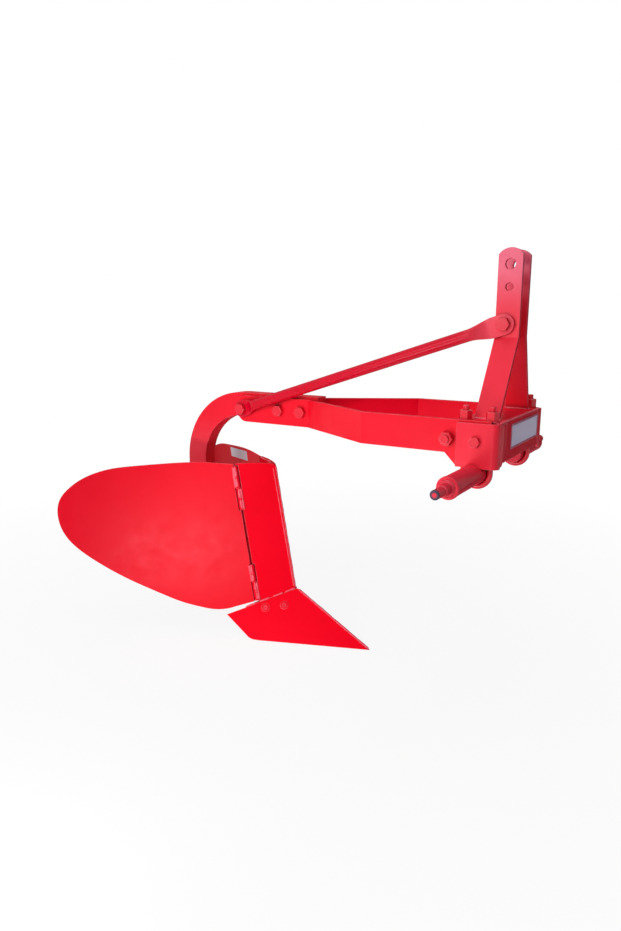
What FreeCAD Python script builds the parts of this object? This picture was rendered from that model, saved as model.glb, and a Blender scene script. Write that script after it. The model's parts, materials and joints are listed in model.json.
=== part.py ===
import FreeCAD, Part
import math, os
from FreeCAD import Vector as V, Placement, Rotation

# Ditching plough, three-point mounted. Millimetres, +X forward to the tractor, +Y left, +Z up,
# ground at Z = 0, origin under the middle of the box round the whole plough.

# ---------------------------------------------------------------- driving dimensions
# frame bars
FRAME_W = 360.0        # over the outer faces of the parallel part of the bars
BAR_T = 10.0
BAR_H = 80.0
BAR_TOP = 737.5
BEND_REAR_X = 55.0     # where the bars leave the shank's sides
BEND_FRONT_X = 308.0   # where they turn parallel again
BAR_REAR_X = -199.0
BAR_END_R = 30.0       # corners of their rear ends
BAR_HAUNCH = 30.0      # length over which they deepen to the headstock's height
# bolts
BOLT_R = 10.0
BOLT_AF = 30.0
BOLT_HEAD = 12.5
NUT_H = 16.0
CHEEK_R = 8.0          # the smaller bolts through the headstock's cheeks
CHEEK_AF = 24.0
CHEEK_HEAD = 10.0
CHEEK_NUT = 13.0
# shank
SHANK_T = 45.0
SHANK_D = 70.0
SHANK_RISE = 7.5       # its top above the bars
SHANK_RI = 155.0       # inner bend radius
SHANK_BACK_X = -414.0  # rear face of the upright part
SHANK_FRONT_X = 83.0
SHANK_FOOT_Z = 120.0   # underside of the foot
FOOT_SETBACK = 30.9    # from the middle of the origin to where the foot's width runs out to a point
# headstock
HEAD_X0 = 561.0
HEAD_L = 100.2         # length of its cheeks
HEAD_H = 104.5
HEAD_DROP = 5.0        # its top edge below the bars' top
HEAD_T = 8.0
HEAD_R = 18.0          # outer radius of its two upright folds
WEB_UP = 11.5          # the front web's lower edge above the cheeks'
DECK_DROP = 2.5        # the deck below the bars' top
SADDLE_IN = 48.0       # saddle plates inside the frame's outer face
SADDLE_T = 12.0
LUG_T = 10.0           # lugs that bolt the rear wall to the bars
LUG_END = 30.0
PLATE_W = 232.0        # name plate, left blank
PLATE_H = 60.0
PLATE_FAR = 135.0      # its left edge from the middle
PLATE_T = 2.0
# lower hitch pins and their U-bolts
PIN_BACK = 58.2        # pin behind the headstock's front
PIN_DROP = 16.0        # pin below its lower edge
PIN_R_BODY = 25.0
PIN_R_CAT2 = 14.2      # 28.4 mm seat
PIN_R_CAT1 = 11.0      # 22 mm seat
PIN_SHOULDER = 341.5   # half of the 683 mm span
PIN_STEP = 374.5
PIN_END = 411.5
PIN_CHAMFER = 2.0
LINCH_R = 4.5
LINCH_IN = 10.0        # linch pin hole from the pin's end
UROD_R = 7.0
UBOLT_IN = 23.8        # U-bolt inside the frame's outer face
UBOLT_RISE = 34.0      # its threaded ends above the deck
UNUT_AF = 27.0
UNUT_H = 23.0
# mast
MAST_T = 10.0
MAST_W = 58.0
MAST_GAP = 52.0
MAST_BACK = 41.7       # middle of the upright part behind the headstock's front
MAST_RAKE = 8.5        # how far its foot stands behind that
MAST_BEND_H = 187.0    # heights above the deck
MAST_H = 393.0
MAST_TOP_R = 36.0
MAST_SPREAD = 128.0    # outer face at the foot
TOP_HOLE_DOWN = 37.0   # holes below the mast's top
TOP_HOLE_R = 12.75     # 25.5 mm
LOW_HOLE_DOWN = 89.0
LOW_HOLE_R = 9.65      # 19.3 mm
# stay
STAY_R = 15.0
STAY_EYE_T = 9.0
STAY_EYE_R = 25.0
SPACER_R = 17.0
# body: breast plates, hinge line, wings and share
LEAN = 10.5            # backward lean of the shin and hinge lines, degrees
FOOT_O = (-6.0, 0.0, 137.0)   # lowest point of the shin line
BREAST_A = 34.2        # half angle of the breast's V, degrees
BREAST_T = 8.0
BREAST_L = 124.5
SHIN_R = 6.0           # rounding of the shin
FROG_IN = 3.0          # frog's rear face ahead of the breast's rear edges
EDGE_GAP = 3.5         # plate edge to hinge axis
WING_A = 30.7          # half angle of the wings' V, degrees
WING_T = 6.0
KNUCKLE_R = 8.0
HINGE_PIN_R = 4.0
HINGE_FIT = 0.05
KNUCKLE_CLEAR = 2.5
HINGES = ((412.0, 344.0, 343.5, 275.0), (100.0, 45.0, 44.5, -15.5))
SHARE_SLOPE = 0.4254   # rise of the breast-to-share joint per mm of X
SHARE_T = 10.0
SEAT_T = 9.0
TIP_X = 254.0
RIDGE_OUT = 3.0        # its ridge ahead of the shin
SHARE_BOLTS = ((-78.0, 84.0), (-26.0, 94.0))   # X and Z on the share's face
SHARE_BOLT_R = 7.0
SHARE_SINK_R = 13.0    # countersunk head
SHARE_SINK = 6.0
# wing adjusters
ADJ_Z = 250.0          # underside of lug and bracket along the hinge line
ADJ_T = 10.0
ADJ_W = 40.0
LUG_S = 330.0
LUG_OFF = 35.0
CLAMP_BEHIND = 30.37   # clamp stud behind the shank
CLAMP_OUT = 90.0       # and out from the middle
SLOT_W = 16.0
SLOT_SHIFT = -0.98      # the stud crosses the slot by twice this as the wing swings
SLOT_HALF = 36.0
STUD_R = 6.0
STUD_FIT = 0.05
SLIDE = 0.5            # running gap under and over the adjuster

# ---------------------------------------------------------------- places that follow from them
SHANK_TOP = BAR_TOP + SHANK_RISE
SHANK_FOOT_X = -FOOT_SETBACK - SHANK_T / 2 / math.tan(math.radians(BREAST_A))
BAR_IN = SHANK_T / 2 + BAR_T                     # outer face of a bar beside the shank
HEAD_X1 = HEAD_X0 + HEAD_L                       # headstock's front face
HEAD_Z1 = BAR_TOP - HEAD_DROP
HEAD_Z0 = HEAD_Z1 - HEAD_H
BAR_FRONT_X = HEAD_X1 - HEAD_R - 3.2
DECK_TOP = BAR_TOP - DECK_DROP
SADDLE_Y = FRAME_W / 2 - SADDLE_IN
PIN_X = HEAD_X1 - PIN_BACK
PIN_Z = HEAD_Z0 - PIN_DROP
ULEG = PIN_R_BODY + UROD_R
UBOLT_Y = FRAME_W / 2 - UBOLT_IN
WALL_X = PIN_X - ULEG - UROD_R - 1               # front of the rear wall, just behind the U-bolts
MAST_X = HEAD_X1 - MAST_BACK
MAST_FOOT_X = MAST_X - MAST_RAKE
MAST_BEND_Z = DECK_TOP + MAST_BEND_H
MAST_TOP = DECK_TOP + MAST_H
# bolt places, X and Z
SHANK_BOLTS = ((-47.0, BAR_TOP - 38.0), (30.0, BAR_TOP - 38.0))
STAY_REAR = (-179.5, BAR_TOP - 41.5)
STAY_FRONT = (MAST_X - 6.5, MAST_BEND_Z + 30.0)
LUG_BOLT = (WALL_X - HEAD_T - 18.5, BAR_TOP - 46.5)
CHEEK_BOLT = (PIN_X + 3.0, BAR_TOP - 48.5)

WING_OUTLINE = [(58, 431), (134, 444.5), (227, 453.5), (321, 460), (384, 461.5), (433, 456),
                (483.5, 442), (526, 420), (557, 393), (570.6, 366), (575, 335), (570, 296.5),
                (552.5, 257.5), (513.4, 210.5), (458, 161), (388, 108), (301, 52), (228, 9.5),
                (183, -9.8), (137, -25.1), (109, -28.6), (73, -25.8)]
BIG = 3000.0

# ---------------------------------------------------------------- helpers


def box(x0, x1, y0, y1, z0, z1):
    return Part.makeBox(x1 - x0, y1 - y0, z1 - z0, V(x0, y0, z0))


def cyl(p, d, r, h):
    return Part.makeCylinder(r, h, V(*p), V(*d))


def prism(points, direction):
    pts = [V(*p) for p in points]
    return Part.Face(Part.makePolygon(pts + [pts[0]])).extrude(V(*direction))


def prism_xz(points, y0, y1):
    return prism([(x, y0, z) for x, z in points], (0, y1 - y0, 0))


def prism_xy(points, z0, z1):
    return prism([(x, y, z0) for x, y in points], (0, 0, z1 - z0))


def flip(s):
    return s.mirror(V(0, 0, 0), V(0, 1, 0))


def clip(s, point, normal):
    """Take away what lies on the normal's side of a plane."""
    b = Part.makeBox(BIG, BIG, BIG, V(-BIG / 2, -BIG / 2, 0))
    b.Placement = Placement(V(*point), Rotation(V(0, 0, 1), V(*normal)))
    return s.cut(b)


def hexagon(p, d, af, h):
    """Bolt head or nut, its corners chamfered at 30 degrees at both ends."""
    r = af / math.sqrt(3)
    pts = [V(r * math.cos(math.radians(60 * i)), r * math.sin(math.radians(60 * i)), 0)
           for i in range(6)]
    s = Part.Face(Part.makePolygon(pts + [pts[0]])).extrude(V(0, 0, h))
    r0, r1 = 0.475 * af, r + 0.5
    k = (r1 - r0) / math.sqrt(3)
    turn = Part.Face(Part.makePolygon([V(0, 0, 0), V(r0, 0, 0), V(r1, 0, k), V(r1, 0, h - k), V(r0, 0, h),
                                       V(0, 0, h), V(0, 0, 0)])).revolve(V(0, 0, 0), V(0, 0, 1), 360)
    s = s.common(turn)
    s.Placement = Placement(V(*p), Rotation(V(0, 0, 1), V(*d)))
    return s


def fuse(*shapes):
    s = shapes[0]
    for t in shapes[1:]:
        s = s.fuse(t)
    return s.removeSplitter()


def bolt_y(x, z, y0, y1, r=BOLT_R, af=BOLT_AF, head=BOLT_HEAD, nut=NUT_H, tail=6.0):
    """Bolt along Y with its head outside y0 and its nut outside y1."""
    d = 1.0 if y1 > y0 else -1.0
    return fuse(cyl((x, y0, z), (0, d, 0), r, abs(y1 - y0) + nut + tail),
                hexagon((x, y0 - d * head, z), (0, d, 0), af, head),
                hexagon((x, y1, z), (0, d, 0), af, nut))


def bore_y(x, z, r, y0=-BIG / 2, y1=BIG / 2):
    return cyl((x, y0, z), (0, 1, 0), r, y1 - y0)


def arc_pts(c, r, a0, a1, n):
    return [(c[0] + r * math.cos(math.radians(a0 + (a1 - a0) * i / n)),
             c[1] + r * math.sin(math.radians(a0 + (a1 - a0) * i / n))) for i in range(n + 1)]


def wire_face(edges, direction):
    return Part.Face(Part.Wire(edges)).extrude(V(*direction))


def line(a, b):
    return Part.makeLine(V(*a), V(*b))


def arc3(a, m, b):
    return Part.Arc(V(*a), V(*m), V(*b)).toShape()


parts = {}

# ---------------------------------------------------------------- hinge frame of the body
LEAN_R = math.radians(LEAN)
HF = Placement(V(*FOOT_O), Rotation(V(0, 1, 0), -LEAN))


def to_world(s):
    t = s.copy()
    t.Placement = HF.multiply(t.Placement)
    return t


def unit(a):
    return (-math.cos(math.radians(a)), -math.sin(math.radians(a)))


def inward(a):
    return (-math.sin(math.radians(a)), math.cos(math.radians(a)))


def along(p, u, s, n=(0, 0), t=0.0):
    return (p[0] + u[0] * s + n[0] * t, p[1] + u[1] * s + n[1] * t)


UB, NB = unit(BREAST_A), inward(BREAST_A)
UW, NW = unit(WING_A), inward(WING_A)
AXIS = along((0, 0), UB, BREAST_L + EDGE_GAP, NB, BREAST_T / 2)   # right hinge axis


# ---------------------------------------------------------------- frame bars
def side_bar(sign):
    """Right bar for sign = -1: doubled flat bar, bent out and back, deeper at its front end."""
    half = BAR_IN
    k = FRAME_W / 2 - half
    dx = BEND_FRONT_X - BEND_REAR_X
    off = BAR_T * math.tan(0.5 * math.atan2(k, dx))
    outer = [(BAR_REAR_X, half), (BEND_REAR_X, half), (BEND_FRONT_X, FRAME_W / 2),
             (BAR_FRONT_X, FRAME_W / 2)]
    inner = [(BAR_REAR_X, half - BAR_T), (BEND_REAR_X + off, half - BAR_T),
             (BEND_FRONT_X + off, FRAME_W / 2 - BAR_T), (BAR_FRONT_X, FRAME_W / 2 - BAR_T)]
    s = prism_xy([(x, sign * y) for x, y in outer + inner[::-1]], HEAD_Z0 - 1, BAR_TOP)
    r = BAR_END_R
    z0 = BAR_TOP - BAR_H
    side = [(BAR_FRONT_X + 1, BAR_TOP + 1), (BAR_REAR_X + r, BAR_TOP + 1), (BAR_REAR_X + r, BAR_TOP)]
    side += arc_pts((BAR_REAR_X + r, BAR_TOP - r), r, 90, 180, 8)[1:]
    side += arc_pts((BAR_REAR_X + r, z0 + r), r, 180, 270, 8)
    side += [(HEAD_X0 - BAR_HAUNCH, z0), (HEAD_X0 - 1.0, HEAD_Z0), (BAR_FRONT_X + 1, HEAD_Z0)]
    s = s.common(prism_xz(side, -BIG / 2, BIG / 2))
    return s.cut(bore_y(PIN_X, PIN_Z, PIN_R_BODY))


for nm, sg in (("right", -1), ("left", 1)):
    s = side_bar(sg)
    for x, z in SHANK_BOLTS + (LUG_BOLT, STAY_REAR):
        s = s.cut(bore_y(x, z, BOLT_R))
    s = s.cut(bore_y(CHEEK_BOLT[0], CHEEK_BOLT[1], CHEEK_R))
    parts["side_bar_" + nm] = s

# ---------------------------------------------------------------- shank
ro = SHANK_RI + SHANK_D
cx = SHANK_BACK_X + ro
cz1 = SHANK_TOP - ro
cz0 = SHANK_FOOT_Z + ro
k45 = math.sqrt(0.5)
e = [line((SHANK_FRONT_X, 0, SHANK_TOP), (cx, 0, SHANK_TOP)),
     arc3((cx, 0, SHANK_TOP), (cx - ro * k45, 0, cz1 + ro * k45), (cx - ro, 0, cz1)),
     line((cx - ro, 0, cz1), (cx - ro, 0, cz0)),
     arc3((cx - ro, 0, cz0), (cx - ro * k45, 0, cz0 - ro * k45), (cx, 0, SHANK_FOOT_Z)),
     line((cx, 0, SHANK_FOOT_Z), (SHANK_FOOT_X, 0, SHANK_FOOT_Z)),
     line((SHANK_FOOT_X, 0, SHANK_FOOT_Z), (SHANK_FOOT_X, 0, SHANK_FOOT_Z + SHANK_D)),
     line((SHANK_FOOT_X, 0, SHANK_FOOT_Z + SHANK_D), (cx, 0, SHANK_FOOT_Z + SHANK_D)),
     arc3((cx, 0, SHANK_FOOT_Z + SHANK_D), (cx - SHANK_RI * k45, 0, cz0 - SHANK_RI * k45),
          (cx - SHANK_RI, 0, cz0)),
     line((cx - SHANK_RI, 0, cz0), (cx - SHANK_RI, 0, cz1)),
     arc3((cx - SHANK_RI, 0, cz1), (cx - SHANK_RI * k45, 0, cz1 + SHANK_RI * k45),
          (cx, 0, SHANK_TOP - SHANK_D)),
     line((cx, 0, SHANK_TOP - SHANK_D), (SHANK_FRONT_X, 0, SHANK_TOP - SHANK_D)),
     line((SHANK_FRONT_X, 0, SHANK_TOP - SHANK_D), (SHANK_FRONT_X, 0, SHANK_TOP))]
shank = wire_face(e, (0, SHANK_T, 0))
shank.translate(V(0, -SHANK_T / 2, 0))
for x, z in SHANK_BOLTS + (STAY_REAR,):
    shank = shank.cut(bore_y(x, z, BOLT_R))
parts["shank"] = shank
yb = BAR_IN
parts["shank_bolt_rear"] = bolt_y(SHANK_BOLTS[0][0], SHANK_BOLTS[0][1], -yb, yb)
parts["shank_bolt_front"] = bolt_y(SHANK_BOLTS[1][0], SHANK_BOLTS[1][1], -yb, yb)
parts["stay_bolt_rear"] = bolt_y(STAY_REAR[0], STAY_REAR[1], -yb - STAY_EYE_T, yb)

# ---------------------------------------------------------------- headstock
yo = FRAME_W / 2 + HEAD_T


def folded(y, x1, r, z0, z1):
    """Solid whose plan is a box with two rounded front corners."""
    h = (0, 0, z1 - z0)
    c = r * (1 - k45)
    ed = [line((HEAD_X0, -y, z0), (x1 - r, -y, z0)),
          arc3((x1 - r, -y, z0), (x1 - c, -y + c, z0), (x1, -y + r, z0)),
          line((x1, -y + r, z0), (x1, y - r, z0)),
          arc3((x1, y - r, z0), (x1 - c, y - c, z0), (x1 - r, y, z0)),
          line((x1 - r, y, z0), (HEAD_X0, y, z0)),
          line((HEAD_X0, y, z0), (HEAD_X0, -y, z0))]
    return wire_face(ed, h)


shell = folded(yo, HEAD_X1, HEAD_R, HEAD_Z0, HEAD_Z1)
hollow = folded(yo - HEAD_T, HEAD_X1 - HEAD_T, HEAD_R - HEAD_T, HEAD_Z0 - 1, HEAD_Z1 + 1)
hollow = hollow.fuse(box(HEAD_X0 - 50, HEAD_X0 + 1, -yo + HEAD_T, yo - HEAD_T, HEAD_Z0 - 1, HEAD_Z1 + 1))
shell = shell.cut(hollow)
wy = yo - HEAD_R
relief = [(-wy, HEAD_Z0 - 1), (-wy, HEAD_Z0), (-wy + 13, HEAD_Z0 + WEB_UP), (wy - 13, HEAD_Z0 + WEB_UP),
          (wy, HEAD_Z0), (wy, HEAD_Z0 - 1)]
shell = shell.cut(prism([(HEAD_X1 - HEAD_T - 1, y, z) for y, z in relief], (HEAD_T + 2, 0, 0)))
saddle = prism_xz([(HEAD_X0 + 8, HEAD_Z0), (HEAD_X1 - HEAD_T - 12, HEAD_Z0), (HEAD_X1 - HEAD_T, HEAD_Z0 + WEB_UP),
                   (HEAD_X1 - HEAD_T, DECK_TOP - HEAD_T), (HEAD_X0 + 8, DECK_TOP - HEAD_T)],
                  SADDLE_Y - SADDLE_T / 2, SADDLE_Y + SADDLE_T / 2)
saddles = [saddle, flip(saddle)]
shell = fuse(shell, *saddles)
shell = shell.cut(bore_y(PIN_X, PIN_Z, PIN_R_BODY))
shell = shell.cut(bore_y(CHEEK_BOLT[0], CHEEK_BOLT[1], CHEEK_R))
parts["headstock_shell"] = shell

yi = FRAME_W / 2 - BAR_T
deck = box(WALL_X, HEAD_X1 - HEAD_T, -yi, yi, DECK_TOP - HEAD_T, DECK_TOP)
for sx in (-1, 1):
    for sy in (-1, 1):
        leg = (PIN_X + sx * ULEG, sy * UBOLT_Y, DECK_TOP - 2 * HEAD_T)
        deck = deck.cut(cyl(leg, (0, 0, 1), UROD_R, 4 * HEAD_T))
parts["headstock_deck"] = deck

wall = box(WALL_X - HEAD_T, WALL_X, -yi, yi, HEAD_Z0 + 20, DECK_TOP)
for s in (-1, 1):
    y0, y1 = sorted((s * yi, s * (yi - LUG_T)))
    wall = wall.fuse(box(LUG_BOLT[0] - LUG_END, WALL_X - 1, y0, y1, LUG_BOLT[1] - LUG_END,
                         LUG_BOLT[1] + LUG_END))
wall = wall.removeSplitter().cut(bore_y(LUG_BOLT[0], LUG_BOLT[1], BOLT_R))
parts["headstock_rear_wall"] = wall

plate_z = HEAD_Z1 - 9.0
parts["front_plate"] = box(HEAD_X1, HEAD_X1 + PLATE_T, PLATE_FAR - PLATE_W, PLATE_FAR, plate_z - PLATE_H,
                           plate_z)
for nm, sg in (("right", -1), ("left", 1)):
    parts["lug_bolt_" + nm] = bolt_y(LUG_BOLT[0], LUG_BOLT[1], sg * (yi - LUG_T), sg * FRAME_W / 2)
    parts["cheek_bolt_" + nm] = bolt_y(CHEEK_BOLT[0], CHEEK_BOLT[1], sg * yo, sg * yi, CHEEK_R, CHEEK_AF,
                                       CHEEK_HEAD, CHEEK_NUT, 5.0)

# ---------------------------------------------------------------- lower hitch pins and U-bolts
for nm, sg in (("right", -1), ("left", 1)):
    d = (0, sg, 0)
    p = fuse(cyl((PIN_X, sg * (SADDLE_Y - 8), PIN_Z), d, PIN_R_BODY, PIN_SHOULDER - SADDLE_Y + 8),
             cyl((PIN_X, sg * PIN_SHOULDER, PIN_Z), d, PIN_R_CAT2, PIN_STEP - PIN_SHOULDER),
             cyl((PIN_X, sg * PIN_STEP, PIN_Z), d, PIN_R_CAT1, PIN_END - PIN_STEP))
    ch = [ed for ed in p.Edges if abs(ed.CenterOfMass.y) > PIN_SHOULDER - 0.5]
    keep = []
    for ed in ch:
        if hasattr(ed.Curve, "Radius"):
            yy = abs(ed.CenterOfMass.y)
            if (abs(yy - PIN_END) < 0.1 or (abs(yy - PIN_STEP) < 0.1 and ed.Curve.Radius > 12)
                    or (abs(yy - PIN_SHOULDER) < 0.1 and ed.Curve.Radius > 20)):
                keep.append(ed)
    p = p.makeChamfer(PIN_CHAMFER, keep)
    p = p.cut(cyl((PIN_X, sg * (PIN_END - LINCH_IN), PIN_Z - 30), (0, 0, 1), LINCH_R, 60))
    parts["hitch_pin_" + nm] = p
    ring = Part.makeTorus(ULEG, UROD_R, V(PIN_X, sg * UBOLT_Y, PIN_Z), V(0, 1, 0))
    ring = ring.common(box(PIN_X - 60, PIN_X + 60, sg * UBOLT_Y - 20, sg * UBOLT_Y + 20, PIN_Z - 60, PIN_Z))
    u = ring
    for sx in (-1, 1):
        q = (PIN_X + sx * ULEG, sg * UBOLT_Y, PIN_Z)
        u = u.fuse(cyl(q, (0, 0, 1), UROD_R, DECK_TOP + UBOLT_RISE - PIN_Z))
        u = u.fuse(hexagon((q[0], q[1], DECK_TOP), (0, 0, 1), UNUT_AF, UNUT_H))
    parts["ubolt_" + nm] = u.removeSplitter()

# ---------------------------------------------------------------- mast
my = MAST_GAP / 2


def mast(sign):
    tilt = math.atan2(MAST_SPREAD - my - MAST_T, MAST_BEND_Z - DECK_TOP)
    off = MAST_T * math.tan(tilt / 2)
    yz = [(my, MAST_TOP), (my + MAST_T, MAST_TOP), (my + MAST_T, MAST_BEND_Z), (MAST_SPREAD, DECK_TOP),
          (MAST_SPREAD - MAST_T / math.cos(tilt), DECK_TOP), (my, MAST_BEND_Z - off)]
    s = prism([(MAST_X - 150, sign * y, z) for y, z in yz], (300, 0, 0))
    w = MAST_W / 2
    out = [(MAST_FOOT_X - w, DECK_TOP), (MAST_FOOT_X + w, DECK_TOP), (MAST_X + w, MAST_BEND_Z)]
    r = MAST_TOP_R
    a = math.degrees(math.asin(w / r))
    out += arc_pts((MAST_X, MAST_TOP - r), r, 90 - a, 90 + a, 14)
    out += [(MAST_X - w, MAST_BEND_Z)]
    s = s.common(prism_xz(out, -200, 200))
    s = s.cut(bore_y(MAST_X, MAST_TOP - TOP_HOLE_DOWN, TOP_HOLE_R))
    s = s.cut(bore_y(MAST_X, MAST_TOP - LOW_HOLE_DOWN, LOW_HOLE_R))
    return s.cut(bore_y(STAY_FRONT[0], STAY_FRONT[1], BOLT_R))


parts["mast_right"] = mast(-1)
parts["mast_left"] = mast(1)
parts["mast_spacer"] = cyl((STAY_FRONT[0], -my, STAY_FRONT[1]), (0, 1, 0), SPACER_R, 2 * my).cut(
    bore_y(STAY_FRONT[0], STAY_FRONT[1], BOLT_R))
parts["stay_bolt_front"] = bolt_y(STAY_FRONT[0], STAY_FRONT[1], -my - MAST_T - STAY_EYE_T, my + MAST_T)

# ---------------------------------------------------------------- stay
x0, z0 = STAY_REAR
x1, z1 = STAY_FRONT
ry = -(yb + STAY_EYE_T / 2)
fy = -(my + MAST_T + STAY_EYE_T / 2)
length = math.hypot(x1 - x0, z1 - z0)
ux, uz = (x1 - x0) / length, (z1 - z0) / length


def flat_end(px, py, pz, dx, dz, reach, half):
    """Flattened end: round about its bolt, tapering to the bar."""
    nx, nz = -dz, dx
    body = []
    a0 = math.degrees(math.atan2(nz, nx))
    body += arc_pts((px, pz), half, a0, a0 + 180, 12)
    body += [(px + dx * reach * 0.62 - nx * half * 0.98, pz + dz * reach * 0.62 - nz * half * 0.98),
             (px + dx * reach - nx * STAY_R * 0.8, pz + dz * reach - nz * STAY_R * 0.8),
             (px + dx * reach + nx * STAY_R * 0.8, pz + dz * reach + nz * STAY_R * 0.8),
             (px + dx * reach * 0.62 + nx * half * 0.98, pz + dz * reach * 0.62 + nz * half * 0.98)]
    return prism_xz(body, py - STAY_EYE_T / 2, py + STAY_EYE_T / 2)


def reach_point(px, pz, s, dx, dz):
    return (px + dx * s, pz + dz * s)


sy = -(yb + STAY_R)
fy2 = -(my + MAST_T + STAY_R)
a = reach_point(x0, z0, 70, ux, uz)
b = reach_point(x1, z1, -70, ux, uz)
axis = V(b[0] - a[0], fy2 - sy, b[1] - a[1])
rod = Part.makeCylinder(STAY_R, axis.Length, V(a[0], sy, a[1]), axis)


def neck(px, pz, dx, dz, fyc, rc):
    """Loft from the flattened end to the round bar."""
    nx, nz = -dz, dx
    p = (px + dx * 44, pz + dz * 44)
    q = (px + dx * 72, pz + dz * 72)
    hw, ht = 21.0, STAY_EYE_T / 2 - 0.02
    c = V(p[0], fyc, p[1])
    n, y = V(nx, 0, nz), V(0, 1, 0)
    pts = [c + n * hw + y * ht, c + n * hw - y * ht, c - n * hw - y * ht, c - n * hw + y * ht]
    w1 = Part.makePolygon(pts + [pts[0]])
    c2 = V(q[0], rc, q[1])
    pts2 = [c2 + (n * math.cos(math.radians(t)) + y * math.sin(math.radians(t))) * STAY_R * 0.99
            for t in (45, -45, -135, 135)]
    w2 = Part.makePolygon(pts2 + [pts2[0]])
    return Part.makeLoft([w1, w2], True, True)


stay = fuse(rod, flat_end(x0, ry, z0, ux, uz, 62, STAY_EYE_R), neck(x0, z0, ux, uz, ry, sy),
            flat_end(x1, fy, z1, -ux, -uz, 62, STAY_EYE_R), neck(x1, z1, -ux, -uz, fy, fy2))
stay = stay.cut(box(-400, 0, -yb, 200, 500, 1000)).cut(box(300, 900, -my - MAST_T, 200, 700, 1200))
stay = stay.cut(parts["mast_right"])
for x, z in (STAY_REAR, STAY_FRONT):
    stay = stay.cut(bore_y(x, z, BOLT_R))
parts["stay"] = stay

# ---------------------------------------------------------------- breast and frog
P1_X, P1_Z = FOOT_O[0] + 2.0, 140.0       # a point of the sloping breast-to-share joint
P1_N = (SHARE_SLOPE, 0.0, -1.0)           # points down, towards the share


def vee(t0, t1, length, z0, z1):
    """V of two plates between depths t0 and t1 behind the outer faces, in the hinge frame."""
    out = []
    for s in (1, -1):
        a = math.radians(BREAST_A)
        p = [(-t0 / math.sin(a), 0), along((0, 0), UB, length, NB, t0), along((0, 0), UB, length, NB, t1),
             (-t1 / math.sin(a), 0)]
        out.append(prism_xy([(x, s * y) for x, y in p], z0, z1))
    return fuse(*out)


breast = vee(0, BREAST_T, BREAST_L, -80, 460)
a = math.radians(BREAST_A)
n0, n1 = -SHIN_R / math.sin(a), -SHIN_R / math.tan(a) * math.cos(a)
nose = prism_xy([(1, 0), (1, SHIN_R), (n1, SHIN_R * math.cos(a)), (n0, 0), (n1, -SHIN_R * math.cos(a)),
                 (1, -SHIN_R)], -90, 470)
breast = breast.cut(nose.cut(cyl((n0, 0, -90), (0, 0, 1), SHIN_R, 560)))


def knuckle_space(z_hi, z_lo, r):
    return cyl((AXIS[0], AXIS[1], z_lo), (0, 0, 1), r, z_hi - z_lo)


cuts = []
for mz1, mz0, fz1, fz0 in HINGES:
    cuts.append(knuckle_space(mz1 + 2, mz0 - 0.5, KNUCKLE_R + KNUCKLE_CLEAR))
    cuts.append(knuckle_space(fz1, fz0, KNUCKLE_R))
for c in cuts:
    breast = breast.cut(c).cut(flip(c))
breast = to_world(breast)
top = [(-260, 531), (-180, 531), (-142, 533), (-109, 532.3), (-97, 531), (-88, 528), (-82, 524), (-76, 517),
       (60, 400), (60, -60), (-260, -60)]
breast = breast.common(prism_xz(top, -200, 200))
breast = clip(breast, (P1_X, 0, P1_Z), P1_N)
parts["breast"] = breast

a = math.radians(BREAST_A)
frog_x0 = -BREAST_T / math.sin(a)                # inside corner of the V
frog_x1 = FROG_IN - BREAST_L * math.cos(a)
frog_y = (frog_x0 - frog_x1) * math.tan(a)
frog = prism_xy([(frog_x0, 0), (frog_x1, frog_y), (frog_x1, -frog_y)], -60, 125)
frog = to_world(frog)
frog = clip(frog, (P1_X, 0, P1_Z), P1_N)
frog = frog.cut(box(-400, SHANK_FOOT_X, -SHANK_T / 2, SHANK_T / 2, 0, 400))
parts["frog"] = frog

# ---------------------------------------------------------------- share
# outer plane of the right half through the tip and the breast's outer face on the joint plane


def on_joint(local_xy):
    """World point of a hinge-frame vertical line on the joint plane."""
    lo = HF.multVec(V(local_xy[0], local_xy[1], -100))
    hi = HF.multVec(V(local_xy[0], local_xy[1], 100))
    n = V(*P1_N)
    t = (V(P1_X, 0, P1_Z) - lo).dot(n) / (hi - lo).dot(n)
    return lo + (hi - lo) * t


Q1 = on_joint((RIDGE_OUT, 0))
Q2 = on_joint(along((0, 0), UB, BREAST_L))
TIP = V(TIP_X, 0, 0)
sn = (Q1 - TIP).cross(Q2 - TIP)
sn.normalize()
if sn.y > 0:
    sn = sn * -1                          # outward, to the right and up


def on_share(x, z):
    y = TIP.y - (sn.x * (x - TIP.x) + sn.z * (z - TIP.z)) / sn.y
    return V(x, y, z)


def share_half(t0, t1, outline):
    pts = [p - sn * t0 for p in outline]
    s = Part.Face(Part.makePolygon(pts + [pts[0]])).extrude(sn * -(t1 - t0))
    s = clip(s, (P1_X, 0, P1_Z), (-P1_N[0], 0, 1.0))
    s = clip(s, (0, 0, 0), (0, 0, -1))
    return clip(s, (0, 0, 0), (0, 1, 0))


outline = [on_share(TIP_X + 60, -40), on_share(-62, -40), on_share(-66, 0), on_share(-84, 1.5),
           on_share(-97, 5.5), on_share(-105, 10.5), on_share(-184, 59.0), on_share(-112, 91.0),
           on_share(-104, 200), on_share(TIP_X + 40, 300)]
half = share_half(0, SHARE_T, outline)
share = fuse(half, flip(half))
parts["share"] = share

seat_out = [on_share(30, 60), on_share(-110, 38), on_share(-130, 160), on_share(60, 200)]
seat = share_half(SHARE_T, SHARE_T + SEAT_T, seat_out)
seat = fuse(seat, flip(seat))
seat = clip(seat, (P1_X, 0, P1_Z), (-P1_N[0], 0, 1.0))
parts["share_seat"] = seat

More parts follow.
